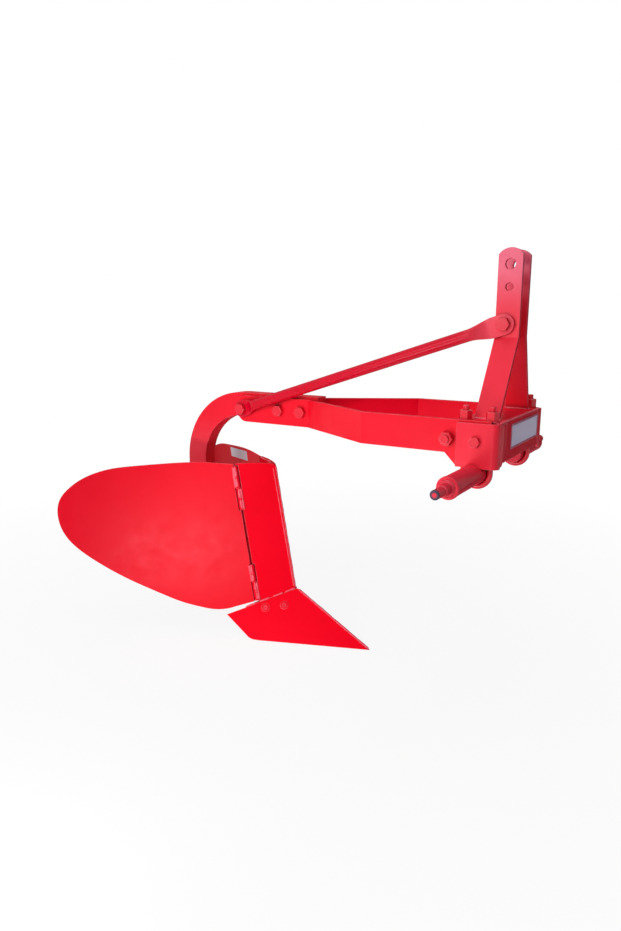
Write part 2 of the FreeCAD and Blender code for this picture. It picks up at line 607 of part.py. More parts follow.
for i, (x, z) in enumerate(SHARE_BOLTS):
    p = on_share(x, z)
    head = Part.makeCone(SHARE_SINK_R, SHARE_BOLT_R, SHARE_SINK, p, sn * -1)
    b = head.fuse(Part.makeCylinder(SHARE_BOLT_R, SHARE_T + SEAT_T + 16, p, sn * -1)).fuse(
        hexagon(tuple(p - sn * (SHARE_T + SEAT_T)), tuple(sn * -1), 22.0, 11.0))
    b = b.removeSplitter()
    nm = ("rear", "front")[i]
    cutter = head.fuse(Part.makeCylinder(SHARE_BOLT_R, 60, p, sn * -1))
    for c in (cutter, flip(cutter)):
        parts["share"] = parts["share"].cut(c)
        parts["share_seat"] = parts["share_seat"].cut(c)
    parts["share_bolt_%s_right" % nm] = b
    parts["share_bolt_%s_left" % nm] = flip(b)

# ---------------------------------------------------------------- wings
pts = [V(*p, 0) for p in WING_OUTLINE]
spl = Part.BSplineCurve()
spl.interpolate(pts)
p_top, p_bot = V(EDGE_GAP, 419, 0), V(EDGE_GAP, -17, 0)
w = Part.Wire([Part.makeLine(p_bot, p_top), Part.makeLine(p_top, pts[0]), spl.toShape(),
               Part.makeLine(pts[-1], p_bot)])
wing = Part.Face(w).extrude(V(0, 0, WING_T))
wing.translate(V(0, 0, -WING_T / 2))
# flat outline (s, z') to the hinge frame: s along the wing, z' along the hinge line
M = FreeCAD.Matrix(UW[0], 0, -NW[0], AXIS[0], UW[1], 0, -NW[1], AXIS[1], 0, 1, 0, 0, 0, 0, 0, 1)
wing = wing.transformed(M)
for mz1, mz0, fz1, fz0 in HINGES:
    wing = wing.cut(knuckle_space(mz1 + 1.5, mz0, KNUCKLE_R))
    wing = wing.cut(knuckle_space(fz1 + 0.5, fz0 - 2, KNUCKLE_R + KNUCKLE_CLEAR))
parts["wing_right"] = to_world(wing)

for i, (mz1, mz0, fz1, fz0) in enumerate(HINGES):
    nm = ("upper", "lower")[i]
    mov = cyl((AXIS[0], AXIS[1], mz0), (0, 0, 1), KNUCKLE_R, mz1 - mz0).cut(
        cyl((AXIS[0], AXIS[1], mz0 - 1), (0, 0, 1), HINGE_PIN_R + HINGE_FIT, mz1 - mz0 + 2))
    fix = fuse(cyl((AXIS[0], AXIS[1], fz0), (0, 0, 1), KNUCKLE_R, fz1 - fz0),
               cyl((AXIS[0], AXIS[1], fz1 - 5), (0, 0, 1), HINGE_PIN_R, mz1 - fz1 + 5))
    parts["hinge_barrel_%s_right" % nm] = to_world(mov)
    parts["hinge_pintle_%s_right" % nm] = to_world(fix)

# ---------------------------------------------------------------- wing adjusters
P = along(AXIS, UW, LUG_S, NW, LUG_OFF)
# clamp stud in the hinge frame
K = ((SHANK_BACK_X - CLAMP_BEHIND - FOOT_O[0] + ADJ_Z * math.sin(LEAN_R)) / math.cos(LEAN_R), -CLAMP_OUT)
d = math.hypot(K[0] - P[0], K[1] - P[1])
vx, vy = (K[0] - P[0]) / d, (K[1] - P[1]) / d


def slab(c0, c1, half, z0, z1):
    """Flat bar with round ends, from c0 to c1."""
    dx, dy = c1[0] - c0[0], c1[1] - c0[1]
    n = math.hypot(dx, dy)
    dx, dy = dx / n, dy / n
    px, py = -dy * half, dx * half
    mid = prism_xy([(c0[0] + px, c0[1] + py), (c0[0] - px, c0[1] - py),
                    (c1[0] - px, c1[1] - py), (c1[0] + px, c1[1] + py)], z0, z1)
    return fuse(mid, cyl((c0[0], c0[1], z0), (0, 0, 1), half, z1 - z0),
                cyl((c1[0], c1[1], z0), (0, 0, 1), half, z1 - z0))


foot = along(AXIS, UW, LUG_S, NW, WING_T / 2)
lug = prism_xy([along(foot, UW, -28), along(foot, UW, 28), along(P, UW, 16, NW, 8),
                along(P, UW, -16, NW, 8)], ADJ_Z, ADJ_Z + ADJ_T)
lug = fuse(lug, cyl((P[0], P[1], ADJ_Z), (0, 0, 1), 18, ADJ_T),
           cyl((P[0], P[1], ADJ_Z), (0, 0, 1), STUD_R, ADJ_T * 2 + 2 * SLIDE + 16),
           hexagon((P[0], P[1], ADJ_Z + 2 * ADJ_T + 2 * SLIDE), (0, 0, 1), 19.0, 10.0),
           hexagon((P[0], P[1], ADJ_Z - 8), (0, 0, 1), 19.0, 8.0))
parts["wing_lug_right"] = to_world(lug)

za = ADJ_Z + ADJ_T + SLIDE
end = (K[0] + vx * (SLOT_HALF - 4), K[1] + vy * (SLOT_HALF - 4))
adj = slab(P, end, ADJ_W / 2, za, za + ADJ_T)
adj = adj.cut(cyl((P[0], P[1], za - 1), (0, 0, 1), STUD_R + STUD_FIT, ADJ_T + 2))
sl = SLOT_HALF - SLOT_W / 2
kx, ky = K[0] - vy * SLOT_SHIFT, K[1] + vx * SLOT_SHIFT
adj = adj.cut(slab((kx - vx * sl, ky - vy * sl), (kx + vx * sl, ky + vy * sl), SLOT_W / 2, za - 1,
                   za + ADJ_T + 1))
parts["adjuster_right"] = to_world(adj)

bracket = prism_xy([(K[0] - 24, -116), (K[0] + 24, -116), (K[0] + 70, -40), (K[0] + 70, 40), (K[0] + 24, 116),
                    (K[0] - 24, 116)], ADJ_Z, ADJ_Z + ADJ_T)
for s in (-1, 1):
    bracket = bracket.cut(cyl((K[0], -s * K[1], ADJ_Z - 1), (0, 0, 1), STUD_R, ADJ_T + 2))
bracket = to_world(bracket)
bracket = bracket.cut(shank).cut(box(SHANK_BACK_X, 0, -200, 200, 0, 600))
parts["adjuster_bracket"] = bracket

clamp = fuse(cyl((K[0], K[1], ADJ_Z - 8), (0, 0, 1), STUD_R, 2 * ADJ_T + 2 * SLIDE + 8 + 18),
             hexagon((K[0], K[1], ADJ_Z - 8), (0, 0, 1), 19.0, 8.0),
             cyl((K[0], K[1], za + ADJ_T + SLIDE), (0, 0, 1), 14.0, 3.0),
             hexagon((K[0], K[1], za + ADJ_T + SLIDE + 3), (0, 0, 1), 19.0, 10.0))
parts["clamp_bolt_right"] = to_world(clamp)

for nm in ("wing", "hinge_barrel_upper", "hinge_barrel_lower", "hinge_pintle_upper", "hinge_pintle_lower",
           "wing_lug", "adjuster", "clamp_bolt"):
    parts[nm + "_left"] = flip(parts[nm + "_right"])

# ---------------------------------------------------------------- write
os.makedirs("parts", exist_ok=True)
for name in sorted(parts):
    s = parts[name]
    if s.ShapeType != "Solid" and len(s.Solids) == 1:
        s = s.Solids[0]
    s.exportStep(os.path.join("parts", name + ".step"))
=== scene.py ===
import json
import math
import random
import bpy
import bmesh
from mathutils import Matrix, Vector


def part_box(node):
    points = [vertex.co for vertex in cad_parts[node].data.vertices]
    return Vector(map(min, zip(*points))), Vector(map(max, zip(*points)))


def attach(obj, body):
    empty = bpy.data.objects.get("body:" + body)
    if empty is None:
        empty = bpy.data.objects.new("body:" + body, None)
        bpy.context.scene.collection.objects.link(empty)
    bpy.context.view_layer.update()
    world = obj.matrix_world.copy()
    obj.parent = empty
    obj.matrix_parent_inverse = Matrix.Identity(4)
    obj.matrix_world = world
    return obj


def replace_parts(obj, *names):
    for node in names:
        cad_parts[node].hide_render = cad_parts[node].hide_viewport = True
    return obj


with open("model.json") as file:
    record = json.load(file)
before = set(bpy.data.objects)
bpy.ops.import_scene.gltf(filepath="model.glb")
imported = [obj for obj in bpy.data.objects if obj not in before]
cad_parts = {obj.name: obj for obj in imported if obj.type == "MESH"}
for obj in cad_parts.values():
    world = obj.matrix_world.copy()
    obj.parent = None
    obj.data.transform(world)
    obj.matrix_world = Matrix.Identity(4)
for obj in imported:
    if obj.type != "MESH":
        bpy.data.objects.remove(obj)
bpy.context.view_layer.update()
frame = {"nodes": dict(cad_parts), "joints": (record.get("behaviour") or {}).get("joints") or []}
NODES = frame["nodes"]
JOINTS = {j["name"]: j for j in frame["joints"]}
random.seed(7)

MM = 0.001
X, Y, Z = Vector((1, 0, 0)), Vector((0, 1, 0)), Vector((0, 0, 1))


# ------------------------------------------------------------------ materials
class Graph:
    """Small helper for building a node material."""

    def __init__(self, name):
        self.mat = bpy.data.materials.new(name)
        self.mat.use_nodes = True
        self.tree = self.mat.node_tree
        self.bsdf = self.tree.nodes["Principled BSDF"]
        self.coords = self.add("ShaderNodeTexCoord")

    def add(self, kind, **values):
        node = self.tree.nodes.new(kind)
        for key, value in values.items():
            if key in node.inputs:
                node.inputs[key].default_value = value
            else:
                setattr(node, key, value)
        return node

    def link(self, a, b):
        self.tree.links.new(a, b)

    def noise(self, scale, detail=4.0, roughness=0.55, stretch=None):
        n = self.add("ShaderNodeTexNoise", Scale=scale, Detail=detail, Roughness=roughness)
        if stretch is None:
            self.link(self.coords.outputs["Object"], n.inputs["Vector"])
        else:
            m = self.add("ShaderNodeMapping", Scale=stretch)
            self.link(self.coords.outputs["Object"], m.inputs["Vector"])
            self.link(m.outputs["Vector"], n.inputs["Vector"])
        return n.outputs["Fac"]

    def ramp(self, fac, stops):
        r = self.add("ShaderNodeValToRGB")
        ends = r.color_ramp.elements
        ends[0].position, ends[0].color = stops[0][0], (*stops[0][1], 1)
        ends[1].position, ends[1].color = stops[-1][0], (*stops[-1][1], 1)
        for pos, col in stops[1:-1]:
            ends.new(pos).color = (*col, 1)
        self.link(fac, r.inputs["Fac"])
        return r.outputs["Color"]

    def mix(self, kind, factor, a, b):
        """Blend of two colours; each may be a socket or a constant."""
        m = self.add("ShaderNodeMix", data_type="RGBA", blend_type=kind)
        for value, socket in ((factor, m.inputs[0]), (a, m.inputs[6]), (b, m.inputs[7])):
            if isinstance(value, bpy.types.NodeSocket):
                self.link(value, socket)
            elif isinstance(value, tuple):
                socket.default_value = (*value, 1)
            else:
                socket.default_value = value
        return m.outputs[2]

    def bump(self, height, strength, distance, normal=None):
        b = self.add("ShaderNodeBump", Strength=strength, Distance=distance)
        self.link(height, b.inputs["Height"])
        if normal is not None:
            self.link(normal, b.inputs["Normal"])
        return b.outputs["Normal"]


def grey(v):
    return (v, v, v)


PIN_LO, PIN_HI = (Vector(corner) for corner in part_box("hitch_pin_right"))
PIN_CENTRE = (PIN_LO + PIN_HI) / 2
PIN_CENTRE.y = 0
WORN_LENGTH = 2 * MM             # bare end of each hitch pin
PIN_PAINT_END = -PIN_LO.y - WORN_LENGTH
CREVICE_SHADE_REACH = 24 * MM                # how far painted shade reaches out of crevices, joints and from under bolt heads
EDGE_HIGHLIGHT_WIDTH = 2.8 * MM          # width of the painted highlight along edges
# pale pink of the painted highlight along edges
EDGE_HIGHLIGHT = (0.97, 0.27, 0.34)
BARE_STEEL = (0.085, 0.060, 0.090)


def worn_end(g, place, colour, beyond):
    """Paint worn off a pin beyond this distance from the middle; the centre of its end face keeps it."""
    out = g.add("ShaderNodeMath", operation="ABSOLUTE")
    g.link(place.outputs["Y"], out.inputs[0])
    ragged = g.add("ShaderNodeMath", operation="MULTIPLY_ADD")
    g.link(g.noise(120.0, 3.0), ragged.inputs[0])
    ragged.inputs[1].default_value = 5 * MM
    g.link(out.outputs[0], ragged.inputs[2])
    worn = g.add("ShaderNodeMapRange")
    worn.inputs["From Min"].default_value = beyond
    worn.inputs["From Max"].default_value = beyond + 1.5 * MM
    g.link(ragged.outputs[0], worn.inputs["Value"])
    flat = g.add("ShaderNodeVectorMath", operation="MULTIPLY")
    flat.inputs[1].default_value = (1, 0, 1)
    g.link(g.coords.outputs["Object"], flat.inputs[0])
    off = g.add("ShaderNodeVectorMath", operation="DISTANCE")
    g.link(flat.outputs[0], off.inputs[0])
    off.inputs[1].default_value = PIN_CENTRE
    edge_only = g.add("ShaderNodeMapRange")
    edge_only.inputs["From Min"].default_value = 3.5 * MM
    edge_only.inputs["From Max"].default_value = 6.5 * MM
    g.link(off.outputs["Value"], edge_only.inputs["Value"])
    rim = g.add("ShaderNodeMath", operation="MULTIPLY")
    g.link(worn.outputs["Result"], rim.inputs[0])
    g.link(edge_only.outputs["Result"], rim.inputs[1])
    return g.mix("MIX", rim.outputs[0], colour, BARE_STEEL)


# Of the arguments, the strength after sheen is the painted highlight along edges and the next one the painted
# shade in crevices.
def paint(name, dark, light, rough=0.34, peel=1.0, edge=1.4 * MM, ior=1.21, sheen=0.5, edge_highlight=0.8, crevice_shade=0.6,
          wave=0.10, painted_light_ramp=None, bare_beyond=None):
    """Sprayed enamel: random variation of colour and gloss, orange peel, painted shade in crevices, dull when
    seen along it.
    A painted highlight runs along edges, and a ramp along one axis may paint light or shade in another
    colour."""
    g = Graph(name)
    colour = g.ramp(g.noise(3.0, 3.0), [(0.3, dark), (0.7, light)])
    place = g.add("ShaderNodeSeparateXYZ")
    g.link(g.coords.outputs["Object"], place.inputs[0])
    # painted light or shade: blends to another colour along one axis of the object
    if painted_light_ramp is not None:
        name_of_axis, start, end, other = painted_light_ramp
        part = g.add("ShaderNodeMapRange", interpolation_type="SMOOTHSTEP")
        part.inputs["From Min"].default_value = min(start, end)
        part.inputs["From Max"].default_value = max(start, end)
        part.inputs["To Min"].default_value = 0.0 if start < end else 1.0
        part.inputs["To Max"].default_value = 1.0 if start < end else 0.0
        g.link(place.outputs[name_of_axis], part.inputs["Value"])
        colour = g.mix("MIX", part.outputs["Result"], colour, other)
    g.link(g.ramp(g.noise(22.0, 5.0), [(0.3, grey(rough - 0.06)), (0.75, grey(rough + 0.08))]),
           g.bsdf.inputs["Roughness"])
    soft = g.add("ShaderNodeBevel", Radius=edge)
    soft.samples = 6
    n = g.bump(g.noise(380.0, 2.0, 0.4), 0.10 * peel, 0.5 * MM, soft.outputs["Normal"])
    n = g.bump(g.noise(8.0, 2.0), wave, 4 * MM, n)
    g.link(n, g.bsdf.inputs["Normal"])
    # painted shade: ambient occlusion darkens the colour in crevices, in joints between parts and round bolt
    # heads
    near = g.add("ShaderNodeAmbientOcclusion", Distance=CREVICE_SHADE_REACH)
    near.samples = 6
    shade = g.ramp(near.outputs["AO"], [(0.22, grey(1 - crevice_shade)), (0.62, grey(1.0))])
    colour = g.mix("MULTIPLY", 1.0, colour, shade)
    # painted highlight: a paler pink along edges, where the bevelled normal turns away from the face's,
    # broken up by noise
    wide = g.add("ShaderNodeBevel", Radius=EDGE_HIGHLIGHT_WIDTH)
    wide.samples = 6
    geometry = g.add("ShaderNodeNewGeometry")
    turn = g.add("ShaderNodeVectorMath", operation="DOT_PRODUCT")
    g.link(wide.outputs["Normal"], turn.inputs[0])
    g.link(geometry.outputs["Normal"], turn.inputs[1])
    corner = g.ramp(turn.outputs["Value"], [(0.80, grey(edge_highlight)), (0.985, grey(0.0))])
    patchy = g.ramp(g.noise(45.0, 4.0), [(0.35, grey(0.25)), (0.60, grey(1.0))])
    both = g.add("ShaderNodeMath", operation="MULTIPLY")
    g.link(corner, both.inputs[0])
    g.link(patchy, both.inputs[1])
    colour = g.mix("MIX", both.outputs[0], colour, EDGE_HIGHLIGHT)
    if bare_beyond is not None:
        colour = worn_end(g, place, colour, bare_beyond)
    g.link(colour, g.bsdf.inputs["Base Color"])
    turned = g.add("ShaderNodeLayerWeight", Blend=0.5)
    g.link(g.ramp(turned.outputs["Facing"], [(0.40, grey(sheen)), (0.70, grey(0.004))]),
           g.bsdf.inputs["Specular IOR Level"])
    g.bsdf.inputs["IOR"].default_value = ior
    g.bsdf.inputs["Specular Tint"].default_value = (1.0, 0.8, 0.9, 1)
    return g.mat


RED = paint("red_paint", (0.86, 0.0008, 0.0160), (0.92, 0.0020, 0.0230))
# Copy of the red paint for the breast and share with a brighter base colour: painted light.
BODY = paint("red_paint_body", (0.94, 0.0004, 0.0120), (0.99, 0.0010, 0.0180), ior=1.12)
# Paler, pinker copy of the red paint for the right side bar only: painted sheen on its outer face; the left
# bar keeps the plain paint.
BAR = paint("red_paint_bar", (0.93, 0.0040, 0.0200), (0.98, 0.0070, 0.0270), edge=3.6 * MM, ior=1.30)
# Paler, pinker copy of the red paint for the headstock shell and deck: painted sheen.
SHEEN_PAINT = paint("red_paint_sheen", (0.94, 0.0150, 0.0400), (0.99, 0.0220, 0.0500), edge=3.6 * MM, ior=1.36)
# Pinker copy of the red paint for the shank, paler still below 0.56 m, blending back by 0.68 m: painted
# sheen.
SHANK = paint("red_paint_shank", (0.92, 0.0040, 0.0200), (0.97, 0.0070, 0.0270), edge=3.6 * MM, ior=1.36,
              painted_light_ramp=("Z", 0.68, 0.56, (0.94, 0.0340, 0.0600)))
RIM = paint("red_paint_rim", (0.58, 0.15, 0.23), (0.68, 0.21, 0.31), ior=1.4)
# Brighter copy of the red paint without painted crevice shade, for the sheets behind the breast-wing gaps:
# painted light.
GAP_SHADE_PAINT = paint("red_paint_gap_shade", (0.94, 0.0060, 0.0300), (0.99, 0.0100, 0.0360), crevice_shade=0.0)
# Copy of the red paint for the wings, darker towards the rear: painted shade where light falls off across the
# flat wing.
WING = paint("red_paint_wings", (0.89, 0.0025, 0.0160), (0.945, 0.0060, 0.0220), ior=1.22, wave=0.03,
             painted_light_ramp=("X", -0.26, -0.62, (0.68, 0.0005, 0.0120)))
# Pinker copy of the red paint for the masts, much paler at the top: painted sheen and a painted highlight.
MAST = paint("red_paint_mast", (0.94, 0.0180, 0.0440), (0.99, 0.0300, 0.0600), edge=3.0 * MM, ior=1.4,
             painted_light_ramp=("Z", 0.96, 1.12, (0.98, 0.1500, 0.2400)))
# Paler pink copy of the red paint for weld beads and dabs: painted highlight.
WELD = paint("red_paint_weld", (0.92, 0.0420, 0.0800), (0.98, 0.1100, 0.1650), rough=0.24, peel=3.0,
             edge=0.5 * MM, ior=1.5)
# Pinker copy of the red paint for the hitch pins and their collars: painted sheen; the bare steel at the ends
# is wear.
PIN = paint("red_paint_pins", (0.88, 0.0260, 0.0560), (0.96, 0.0420, 0.0800), peel=3.0, edge=2.0 * MM,
            ior=1.25, bare_beyond=PIN_PAINT_END)
BOLT = paint("red_paint_bolts", (0.84, 0.0080, 0.0280), (0.90, 0.0160, 0.0380), rough=0.24, peel=2.0,
             edge=1.0 * MM, ior=1.5)


def plate_paint(name, low, high):
    """Satin panel with a faint brushed grain."""
    g = Graph(name)
    g.link(g.ramp(g.noise(5.0, 5.0), [(0.3, low), (0.7, high)]), g.bsdf.inputs["Base Color"])
    grain = g.noise(60.0, 3.0, 0.6, stretch=(1, 1, 12))
    g.link(g.ramp(grain, [(0.3, grey(0.30)), (0.8, grey(0.46))]), g.bsdf.inputs["Roughness"])
    soft = g.add("ShaderNodeBevel", Radius=0.6 * MM)
    n = g.bump(grain, 0.15, 0.25 * MM, soft.outputs["Normal"])
    g.link(n, g.bsdf.inputs["Normal"])
    return g.mat


def zinc(name):
    """Bright zinc plating, a little cloudy and yellowed."""
    g = Graph(name)
    cloud = g.noise(40.0, 5.0)
    g.link(g.ramp(cloud, [(0.3, (0.50, 0.49, 0.44)), (0.7, (0.66, 0.65, 0.62))]), g.bsdf.inputs["Base Color"])
    g.link(g.ramp(g.noise(90.0, 4.0), [(0.3, grey(0.24)), (0.8, grey(0.42))]), g.bsdf.inputs["Roughness"])
    soft = g.add("ShaderNodeBevel", Radius=0.5 * MM)
    g.link(g.bump(g.noise(300.0, 2.0), 0.12, 0.3 * MM, soft.outputs["Normal"]), g.bsdf.inputs["Normal"])
    g.bsdf.inputs["Metallic"].default_value = 1.0
    return g.mat


# Darker copy of the red paint for the stay: painted shade; its front end blends to pinker: painted sheen.
STAY = paint("red_paint_stay", (0.66, 0.0010, 0.0180), (0.74, 0.0020, 0.0240), rough=0.28, ior=1.30,
             painted_light_ramp=("X", 0.50, 0.59, (0.93, 0.0700, 0.1100)))
PLATE = plate_paint("blank_plate", (0.42, 0.34, 0.60), (0.52, 0.43, 0.70))
LABEL = plate_paint("blank_label", (0.70, 0.64, 0.76), (0.80, 0.76, 0.84))
ZINC = zinc("plated_steel")


def use(obj, mat):
    obj.data.materials.clear()
    obj.data.materials.append(mat)


for name, obj in NODES.items():
    use(obj, RED)
# The right side bar, headstock shell and deck, and shank take copies with painted sheen; breast and share
# take the brighter copy with painted light.
for name, mat in (("side_bar_right", BAR), ("headstock_shell", SHEEN_PAINT), ("headstock_deck", SHEEN_PAINT),
                  ("shank", SHANK), ("breast", BODY), ("share", BODY)):
    use(NODES[name], mat)
for name in NODES:
    if "bolt" in name and not name.startswith("share"):
        use(NODES[name], BOLT)
for side in ("right", "left"):
    use(NODES["mast_" + side], MAST)
    use(NODES["wing_" + side], WING)
    use(NODES["hitch_pin_" + side], PIN)
use(NODES["front_plate"], PLATE)
for side in ("right", "left"):
    use(NODES["clamp_bolt_" + side], ZINC)


# ------------------------------------------------------------------ places, read from the frame
BOX = {name: [Vector(c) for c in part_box(name)] for name in NODES}


def lo(node):
    return BOX[node][0].copy()


def hi(node):
    return BOX[node][1].copy()


def mid(node):
    return (lo(node) + hi(node)) / 2


def verts(node, test=None):
    vs = [v.co.copy() for v in NODES[node].data.vertices]
    return [v for v in vs if test is None or test(v)]


def far(node, direction, test=None):
    """The node's corner furthest along a direction."""
    d = Vector(direction)
    return max(verts(node, test), key=lambda v: v.dot(d))


# ------------------------------------------------------------------ mesh building
class Mesh:
    """Collects vertices and faces of one piece."""

    def __init__(self):
        self.v, self.f = [], []

    def rings(self, rings, close_ends=True, loop=False):
        """Skin between rings of equal length; a loop joins the last to the first."""
        base, n = len(self.v), len(rings[0])
        for r in rings:
            self.v.extend(r)
        for i in range(len(rings) if loop else len(rings) - 1):
            up = base + (i + 1) % len(rings) * n
            for k in range(n):
                q = (k + 1) % n
                self.f.append((base + i * n + k, base + i * n + q, up + q, up + k))
        if close_ends and not loop:
            self.f.append(tuple(base + k for k in reversed(range(n))))
            self.f.append(tuple(base + (len(rings) - 1) * n + k for k in range(n)))

    def piece(self, name, mat, body, slot="red_paint", smooth=40.0):
        data = bpy.data.meshes.new(name)
        data.from_pydata([tuple(p) for p in self.v], [], self.f)
        bm = bmesh.new()
        bm.from_mesh(data)
        bmesh.ops.recalc_face_normals(bm, faces=bm.faces)
        bm.to_mesh(data)
        bm.free()
        data.shade_smooth()
        data.set_sharp_from_angle(angle=math.radians(smooth))
        obj = bpy.data.objects.new(name, data)
        bpy.context.scene.collection.objects.link(obj)
        data.materials.append(mat)
        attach(obj, body)
        return obj


def cross(axis):
    """Two unit directions square to an axis."""
    a = Vector(axis).normalized()
    u = a.cross(Z if abs(a.z) < 0.9 else X).normalized()
    return u, a.cross(u).normalized()


def bead(m, points, r, height=None, side=None, pitch=None, sides=8, uneven=0.16, ends=2.2):
    """Weld bead along a line: overlapping scales, uneven width, tapered ends."""
    height = r if height is None else height
    pitch = 1.25 * r if pitch is None else pitch
    pts = [Vector(p) for p in points]
    length = [0.0]
    for a, b in zip(pts, pts[1:]):
        length.append(length[-1] + (b - a).length)
    total = length[-1]
    n = max(6, int(total / pitch * 5))
    phase = random.random() * 9
    rings, k = [], 0
    for i in range(n + 1):
        s = total * i / n
        while k < len(pts) - 2 and s > length[k + 1]:
            k += 1
        t = (s - length[k]) / max(1e-9, length[k + 1] - length[k])
        c = pts[k].lerp(pts[k + 1], t)
        d = (pts[k + 1] - pts[k]).normalized()
        up = Vector(side) if side is not None else cross(d)[0]
        up = (up - d * up.dot(d)).normalized()
        across = d.cross(up)
        scale = (s / pitch) % 1.0
        wander = math.sin(s / r * 0.31 + phase) + 0.6 * math.sin(s / r * 0.83 + 2 * phase)
        w = 1 - 0.20 * scale + uneven * wander / 2
        end = min(s, total - s)
        if end < ends * r:
            w *= math.sqrt(max(0.04, 1 - (1 - end / (ends * r)) ** 2))
        ring = []
        for j in range(sides):
            q = 2 * math.pi * j / sides
            lag = d * (0.35 * pitch * (1 - abs(math.cos(q))) * (1 if s > 0 else 0))
            ring.append(c + across * (r * w * math.cos(q)) + up * (height * w * math.sin(q)) - lag * 0.6)
        rings.append(ring)
    m.rings(rings)


def blobs(m, points, r, up):
    """Short weld dabs."""
    for p in points:
        p = Vector(p)
        along = cross(up)[0]
        a = random.uniform(0, math.pi)
        along = along * math.cos(a) + cross(up)[1] * math.sin(a)
        k = r * random.uniform(0.75, 1.2)
        bead(m, [p - along * k, p + along * k], k * 0.8, height=k * 0.5, side=up, pitch=k * 1.5)


def thread(m, at, axis, r, length, pitch, seg=28):
    """Screw thread: a ridge winding round a rod."""
    a = Vector(axis).normalized()
    u, w = cross(a)
    steps = max(8, int(length / pitch * 6))
    rings = []
    for i in range(steps + 1):
        z = length * i / steps
        ring = []
        for j in range(seg):
            q = 2 * math.pi * j / seg
            ridge = 1 - abs(2 * ((z / pitch - j / seg) % 1.0) - 1)
            rr = r + (0.75 * ridge - 0.25) * 0.6 * pitch * 0.5
            if i in (0, steps):
                rr = r - 0.2 * MM
            ring.append(Vector(at) + a * z + u * (rr * math.cos(q)) + w * (rr * math.sin(q)))
        rings.append(ring)
    m.rings(rings)


def washer(m, at, axis, r0, r1, t, seg=36):
    """Flat washer with slightly rounded rims."""
    a = Vector(axis).normalized()
    u, w = cross(a)
    c = 0.2 * t
    section = [(r0, 0), (r1 - c, 0), (r1, c), (r1, t - c), (r1 - c, t), (r0 + c, t), (r0, t - c)]
    rings = []
    for j in range(seg + 1):
        q = 2 * math.pi * j / seg
        rings.append([Vector(at) + a * z + (u * math.cos(q) + w * math.sin(q)) * rr for rr, z in section])
    m.rings(rings, close_ends=False)


def rounded(w, h, r, n=6):
    """Outline of a rectangle with round corners, about its middle."""
    out = []
    for cx, cy, a0 in ((w / 2 - r, h / 2 - r, 0), (-w / 2 + r, h / 2 - r, 90), (-w / 2 + r, -h / 2 + r, 180),
                       (w / 2 - r, -h / 2 + r, 270)):
        for i in range(n + 1):
            q = math.radians(a0 + 90 * i / n)
            out.append((cx + r * math.cos(q), cy + r * math.sin(q)))
    return out


def angles(count):
    """Evenly spaced angles once round, without the last one."""
    return [2 * math.pi * i / count for i in range(count)]


# ------------------------------------------------------------------ headstock pieces
deck_top = hi("headstock_deck").z
deck_lo, deck_hi = lo("headstock_deck"), hi("headstock_deck")
shell_lo, shell_hi = lo("headstock_shell"), hi("headstock_shell")
front_x = shell_hi.x
WALL_T = 8 * MM                  # plate of the rear wall


def name_plate():
    """Blank panel inside a raised rim, in the place of the plain one."""
    a, b = lo("front_plate"), hi("front_plate")
    t, w, h = b.x - a.x, b.y - a.y, b.z - a.z
    c = (a + b) / 2

    def ring(dx, inset):
        return [Vector((a.x + dx * t, c.y + y, c.z + z))
                for y, z in rounded(w - 2 * inset, h - 2 * inset, max(1.0 * MM, 4 * MM - inset))]

    m = Mesh()
    m.rings([ring(dx, k * MM) for dx, k in ((0, 0.3), (0.5, 0.3), (0.5, 5.0), (0.58, 5.4), (0.6, 7.5))])
    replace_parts(m.piece("name_plate_blank", PLATE, "frame", "blank_plate", 30), "front_plate")
    m = Mesh()
    m.rings([ring(dx, k * MM) for dx, k in ((0, 0), (0.7, 0), (1.0, 1.0), (1.0, 4.2), (0.45, 5.2), (0, 5.2))],
            loop=True)
    m.piece("name_plate_rim", RIM, "frame", "red_paint", 40)


def flange(side):
    """Turned-in front flange of a cheek, rolled over the front web."""
    s = -1 if side == "right" else 1
    a, b = shell_lo, shell_hi
    t = hi("front_plate").x - front_x
    y0, width = b.y - 19 * MM, 41 * MM
    z0, z1 = a.z + 5 * MM, b.z - 2 * MM
    profile = [(0, -0.2), (0.02, 0.15), (0.08, 0.5), (0.18, 0.8), (0.32, 0.95), (0.5, 0.97), (0.7, 0.85),
               (0.85, 0.55), (0.96, 0.15), (1.0, -0.2)]
    rings = []
    for k in range(15):
        v = k / 14
        # narrow at the foot, rounded over at the head
        wide = width * min(1.0, 0.34 + 1.5 * v) * (1 if v < 0.93 else 0.94)
        flat = 1.0 if 0 < k < 14 else 0.25
        rings.append([Vector((front_x + t * max(-0.2, x * flat), s * (y0 - u * wide), z0 + (z1 - z0) * v))
                      for u, x in profile])
    m = Mesh()
    m.rings(rings)
    # The masts' paler paint on the flange: painted light, lighter than the front wall beside it.
    m.piece("cheek_flange_" + side, MAST, "frame", "red_paint", 50)


name_plate()
flange("right")
flange("left")


